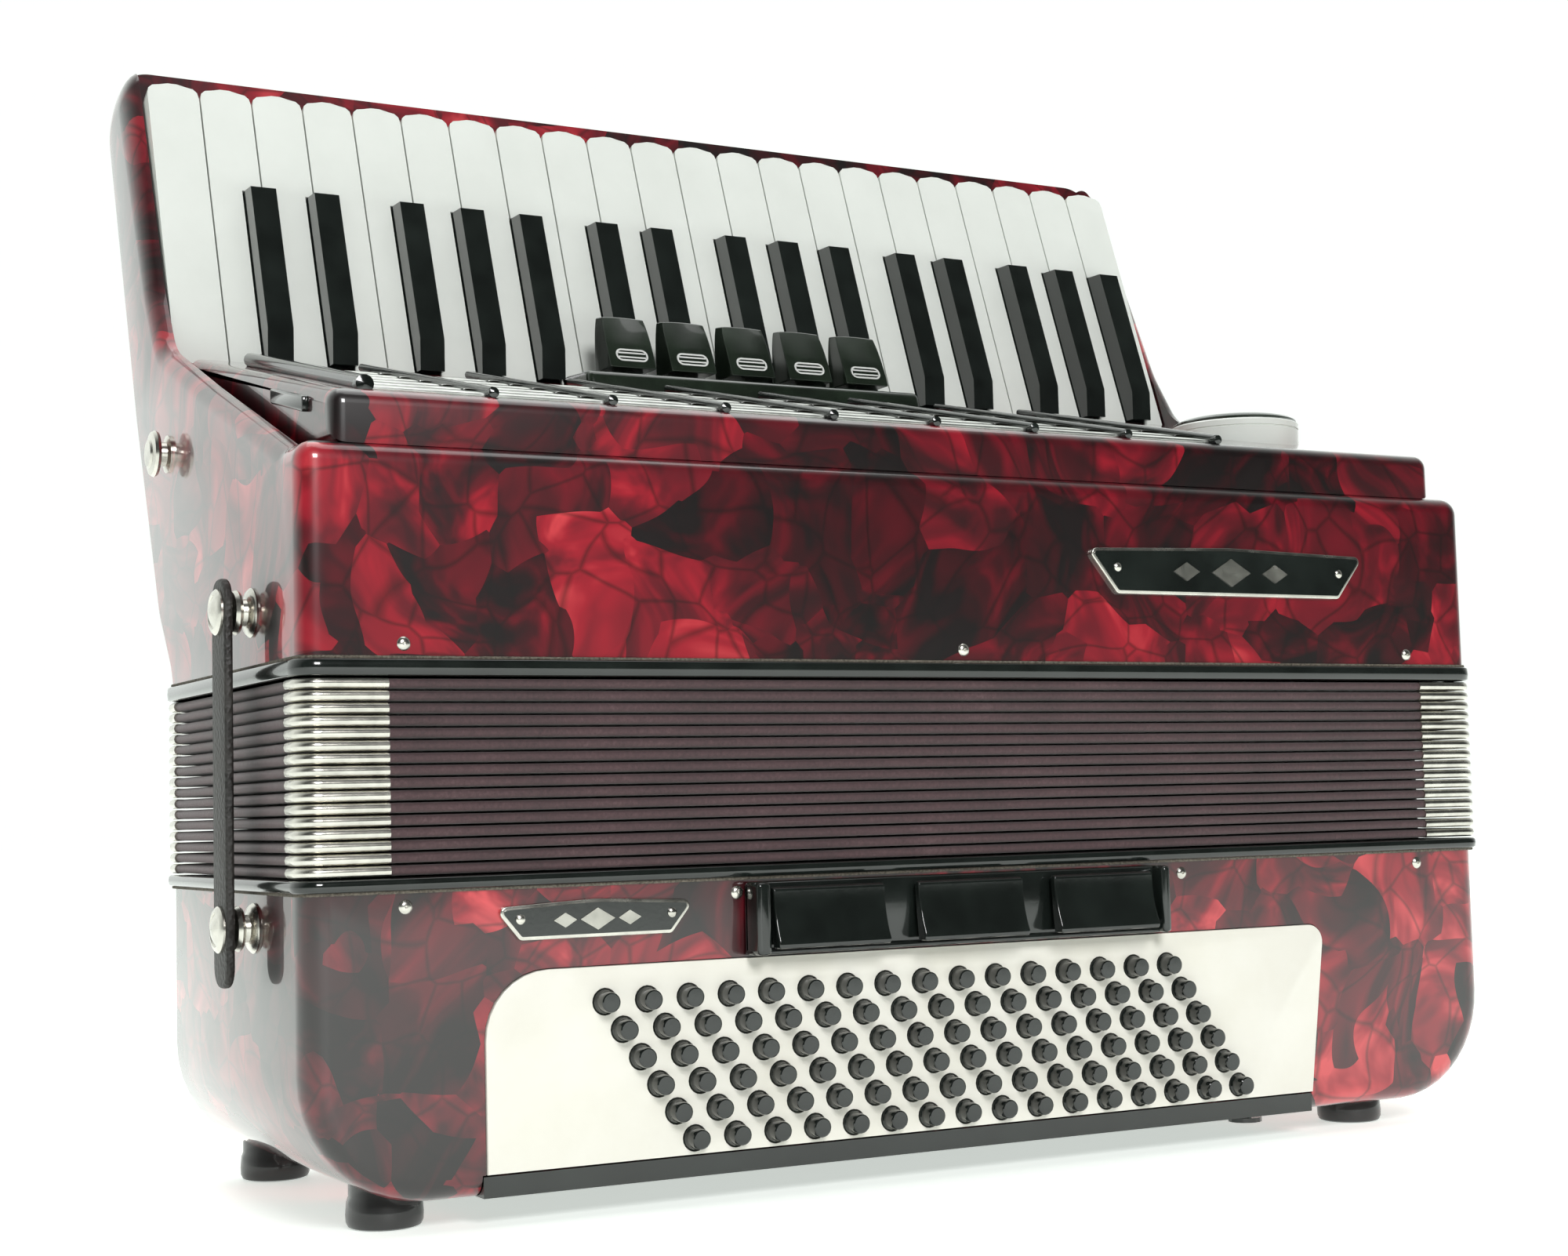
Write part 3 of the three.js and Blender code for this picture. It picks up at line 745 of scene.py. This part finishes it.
def treble_registers():
    half = 72
    profile = rounded([(*on_cover(136.5, -0.5), 0.4), (*on_cover(164, -0.5), 0.4), (162, 285.2, 2.2),
                       (139, 283.6, 3.2)], 4)
    bridge = build("register_bridge", Solid().extrude(profile, "X", -half, half, 2.4, 4), GREEN_BLACK)
    ride(bridge, TREBLE, ["treble_register_bridge"])
    for index in range(5):
        node = f"treble_register_{index + 1}"
        middle = (index - 2) * TAB_PITCH
        tab = build(f"register_tab_{index + 1}", register_tab(middle), GREEN_BLACK)
        ride(bevelled(tab, 0.5, 3), node, [node])
        ride(build(f"register_mark_{index + 1}", register_mark(middle), MARK), node)


def tab_front(height):
    """Front face of a register tab: its distance from the front plane at a share of its height."""
    return 143.6 + 9.6 * height ** 1.15


def register_tab(middle):
    """Tab that narrows upwards, with a scoop in the upper half of its front face."""
    steps, points = 10, 9
    half, taper, back, lean = 9.5, 0.9, 158.3, 1.0
    scoop_start, scoop_depth, droop = 0.42, 3.2, 0.8
    rings = []
    for k in range(steps + 1):
        share = k / steps
        z = TAB_LOW + TAB_HEIGHT * share
        width = half - taper * share ** 4
        rear = back + lean * share
        line = []
        for j in range(points):
            across = -1 + j / 4
            scoop = scoop_depth * max(0.0, share - scoop_start) * (1 - across * across)
            line.append((middle + width * across, tab_front(share) + scoop,
                         z - droop * share * across * across))
        line += [(middle + width, rear, z), (middle - width, rear, z)]
        rings.append(line)
    return Solid().rings(rings)


def register_mark(middle):
    """A white oval frame with two bars, raised on the tab's face."""
    half, tall, radius, centre = 6.6, 2.5, 2.4, 0.24
    frame_width, raised, bar_half = 0.7, 0.3, 0.3

    def on_face(outline, lift):
        places = []
        for a, b in outline:
            share = centre + b / TAB_HEIGHT
            places.append((middle + a, tab_front(share) - lift, TAB_LOW + TAB_HEIGHT * share))
        return places

    outer = rounded([(-half, -tall, radius), (half, -tall, radius), (half, tall, radius),
                     (-half, tall, radius)], 6)
    inner = inset(outer, frame_width)
    mark = Solid().rings([on_face(outer, 0.0), on_face(outer, raised), on_face(inner, raised),
                          on_face(inner, 0.0)], closed=True)
    for b in (-0.85, 0.85):
        low, high = b - bar_half, b + bar_half
        bar = [(-half + 1, low), (half - 1, low), (half - 1, high), (-half + 1, high)]
        mark.rings([on_face(bar, -0.1), on_face(bar, 0.28)])
    return mark


# ---------------------------------------------------------------- straps, studs, screws, badges
def strap_outline():
    front, back, low, high, radius = STRAP_Y - 7.5, STRAP_Y + 7.5, 70.2, 192.8, 6.5
    return rounded([(front, low, radius), (back, low, radius), (back, high, radius),
                    (front, high, radius)], 7)


def outwards(solid, profile, side, place):
    """Add to solid a profile of (radius, x on the right side) turned about a left-right line."""
    return solid.lathe([(radius, side * x) for radius, x in profile], "X", place, 32)


def stud(side, z):
    """Waisted stud between the casing and the strap."""
    profile = ((7.2, 223.6), (7.6, 224.6), (6.6, 225.6), (4.2, 226.2), (4.0, 227.5), (6.3, 228.2),
               (6.9, 229.2), (6.3, 230.4), (4.4, 231.2))
    return outwards(Solid(), profile, side, (STRAP_Y, z))


def knob(side):
    """Button on the end plate that holds a shoulder strap."""
    profile = ((6.5, 223.6), (6.5, 224.8), (4.2, 225.4), (4.0, 227.6), (7.6, 228.2), (8.0, 229.2),
               (7.4, 230.2), (5.0, 230.7), (4.4, 231.4), (0.0, 231.5))
    return outwards(Solid(), profile, side, (151, 246))


def strap_caps(side):
    """Domed press-stud caps on the strap, one over each stud."""
    dome = ((6.6, 0.0), (7.0, 0.5), (7.0, 1.1), (6.2, 1.9), (5.2, 2.1), (4.9, 1.7), (4.3, 1.8),
            (2.6, 2.7), (0, 3.2))
    start = STUD_END + 2.6
    profile = [(radius, start + out) for radius, out in dome]
    caps = Solid()
    for z in (STUD_HIGH, STUD_LOW):
        outwards(caps, profile, side, (STRAP_Y, z))
    return caps


def straps():
    for name, side in SIDES:
        low, high = sorted((side * (STUD_END + 0.3), side * (STUD_END + 3.0)))
        leather_band = Solid().extrude(strap_outline(), "X", low, high, 0.9, 3)
        band = build(f"strap_{name}_leather", leather_band, LEATHER)
        ride(band, f"{name}_strap", [f"bellows_strap_{name}"])
        ride(build(f"strap_{name}_caps", strap_caps(side), NICKEL), f"{name}_strap")
        for z, body, label in ((STUD_HIGH, TREBLE, "upper"), (STUD_LOW, BASS, "lower")):
            ride(build(f"stud_{label}_{name}", stud(side, z), NICKEL), body)
        ride(build(f"shoulder_strap_knob_{name}", knob(side), NICKEL), TREBLE)


def screws():
    """Screw heads with a small recess, along both casings' open ends."""
    head = [(2.1, 0.4), (2.1, -0.1), (1.7, -0.55), (1.0, -0.85), (0.45, -0.9), (0.4, -0.5), (0, -0.4)]
    upper = [(x, 170.1) for x in (-193, 0, 193)]
    lower = [(x, 93.9) for x in (-193.5, -86, 86, 193.5)]
    for label, body, places in (("treble", TREBLE, upper), ("bass", BASS, lower)):
        heads = Solid()
        for place in places:
            heads.lathe(head, "Y", place, 20)
        ride(build(f"{label}_screws", heads, NICKEL), body)


def badge(name, body, x0, x1, z0, z1):
    """Blank name plate: nickel rim round a black field, two rivets and three plain lozenges."""
    middle, level = (x0 + x1) / 2, (z0 + z1) / 2
    slant = (z1 - z0) * 0.75
    outline = rounded([(x0 + slant, z0, 2.0), (x1 - slant, z0, 2.0), (x1, z1 - 1, 2.0),
                       (middle, z1 + 0.6, 60), (x0, z1 - 1, 2.0)], 5)
    rim = Solid().extrude(outline, "Y", -1.5, 0.3, 0.4, 3)
    ride(build(f"{name}_rim", rim, NICKEL), body)
    field = Solid().extrude(inset(outline, 1.1), "Y", -1.75, -1.2)
    ride(build(f"{name}_field", field, BLACK), body)
    marks = Solid()
    for x in (x0 + slant, x1 - slant):
        marks.lathe([(1.5, -1.6), (1.5, -2.0), (1.0, -2.4), (0, -2.5)], "Y", (x, level + 0.8), 18)
    span = (x1 - x0) * 0.29
    for shift in (-1, 0, 1):
        tall = (z1 - z0) * (0.20 if shift else 0.3)
        long = tall * 1.7
        centre = middle + shift * span * 0.55
        lozenge = [(centre - long, level), (centre, level - tall), (centre + long, level),
                   (centre, level + tall)]
        marks.extrude(lozenge, "Y", -2.1, -1.6)
    ride(build(f"{name}_marks", marks, NICKEL), body)


# ---------------------------------------------------------------- carried-over CAD nodes
def dress_nodes():
    """Materials and worn edges for the CAD nodes that are seen as they are."""
    looks = {"key_white": (WHITE, 0.7), "key_black": (BLACK, 0.7), "bass_end_cover": (BLACK, 0.5),
             "air_button": (BLACK, 0.4), "key_axle": (NICKEL, 0.2), "treble_reed_block": (WOOD, 0.4)}
    for name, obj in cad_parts.items():
        for start, (material, width) in looks.items():
            if name.startswith(start):
                obj.data.materials.clear()
                obj.data.materials.append(material)
                bevelled(obj, width, 3, 30)


# ---------------------------------------------------------------- stage
def camera_and_light():
    """Camera solved from the casings' vanishing points, a soft key light and a wide light above."""
    place = (-420.6, -655.5, 119.5)
    right = (0.8808, -0.4727, -0.0251)
    up = (-0.0140, -0.0790, 0.9966)
    back = (-0.4733, -0.8775, -0.0762)
    camera = bpy.data.objects.new("camera", bpy.data.cameras.new("camera"))
    camera.data.sensor_width = 36.0
    camera.data.lens = 54.16
    turn = Matrix((right, up, back)).transposed().to_4x4()
    camera.matrix_world = Matrix.Translation(row(place)) @ turn
    bpy.context.scene.collection.objects.link(camera)
    bpy.context.scene.camera = camera
    area_light("key", (-0.4, -2.1, 1.3), 0.7, 34)
    area_light("top", (0.2, 0.3, 2.2), 1.8, 16)


def area_light(name, place, size, power):
    """Square light at a place in metres, turned towards the accordion's middle."""
    target = Vector((0, 0, 0.2))
    light = bpy.data.objects.new(name, bpy.data.lights.new(name, "AREA"))
    light.data.size = size
    light.data.energy = power
    light.location = place
    light.rotation_mode = "QUATERNION"
    light.rotation_quaternion = (target - Vector(place)).to_track_quat("-Z", "Y")
    bpy.context.scene.collection.objects.link(light)


def pale_floor():
    reach, glow = 12.0, 0.58
    n = Nodes("pale_floor")
    tint = n.noise(1.5, 2.0).outputs["Fac"]
    colour = n.ramp(tint, [(0.3, (0.90, 0.93, 0.90)), (0.7, (0.93, 0.95, 0.93))])
    material = n.set(color=colour, roughness=0.6, emission=glow)
    n.shader.inputs["Emission Color"].default_value = (0.94, 1.0, 0.95, 1.0)
    mesh = bpy.data.meshes.new("floor")
    corners = [(-reach, -reach, 0), (reach, -reach, 0), (reach, reach, 0), (-reach, reach, 0)]
    mesh.from_pydata(corners, [], [(0, 1, 2, 3)])
    mesh.materials.append(material)
    floor = bpy.data.objects.new("floor", mesh)
    bpy.context.scene.collection.objects.link(floor)


def studio_sky():
    """Sky that lights from behind, dim towards the front, and looks evenly pale to the camera."""
    front_y, back_y = -0.35, 0.6
    front_light, back_light, seen_light = 0.05, 1.2, 1.05
    world = bpy.data.worlds.new("studio")
    bpy.context.scene.world = world
    world.use_nodes = True
    tree = world.node_tree
    background = tree.nodes["Background"]
    way = tree.nodes.new("ShaderNodeTexCoord").outputs["Generated"]
    split = tree.nodes.new("ShaderNodeSeparateXYZ")
    tree.links.new(way, split.inputs[0])
    share = tree.nodes.new("ShaderNodeMapRange")
    share.inputs["From Min"].default_value = front_y
    share.inputs["From Max"].default_value = back_y
    share.inputs["To Min"].default_value = front_light
    share.inputs["To Max"].default_value = back_light
    tree.links.new(split.outputs["Y"], share.inputs["Value"])
    seen = tree.nodes.new("ShaderNodeLightPath").outputs["Is Camera Ray"]
    mix = tree.nodes.new("ShaderNodeMix")
    tree.links.new(seen, mix.inputs["Factor"])
    tree.links.new(share.outputs[0], mix.inputs["A"])
    mix.inputs["B"].default_value = seen_light
    tree.links.new(mix.outputs["Result"], background.inputs["Strength"])
    background.inputs["Color"].default_value = (0.955, 1.0, 0.965, 1.0)
    bpy.context.scene.view_settings.view_transform = "Standard"


camera_and_light()
pale_floor()
studio_sky()
bass_casing()
treble_casing()
bellows_frame("bass_bellows_frame", BASS, BASS_TOP, BASS_BAND_TOP, BASS_TOP - FELT_OFFSET)
bellows_frame("treble_bellows_frame", TREBLE, TREBLE_LOW, TREBLE_BAND_TOP, TREBLE_BAND_TOP + FELT_OFFSET)
bellows()
bass_front()
bass_registers()
feet()
hand_strap()
grille_cover()
grille_rods()
switch_disc()
slider()
treble_registers()
straps()
screws()
badge("upper_badge", TREBLE, 50, 173, 190, 206.5)
badge("lower_badge", BASS, -167, -101, 82.5, 93.5)
dress_nodes()
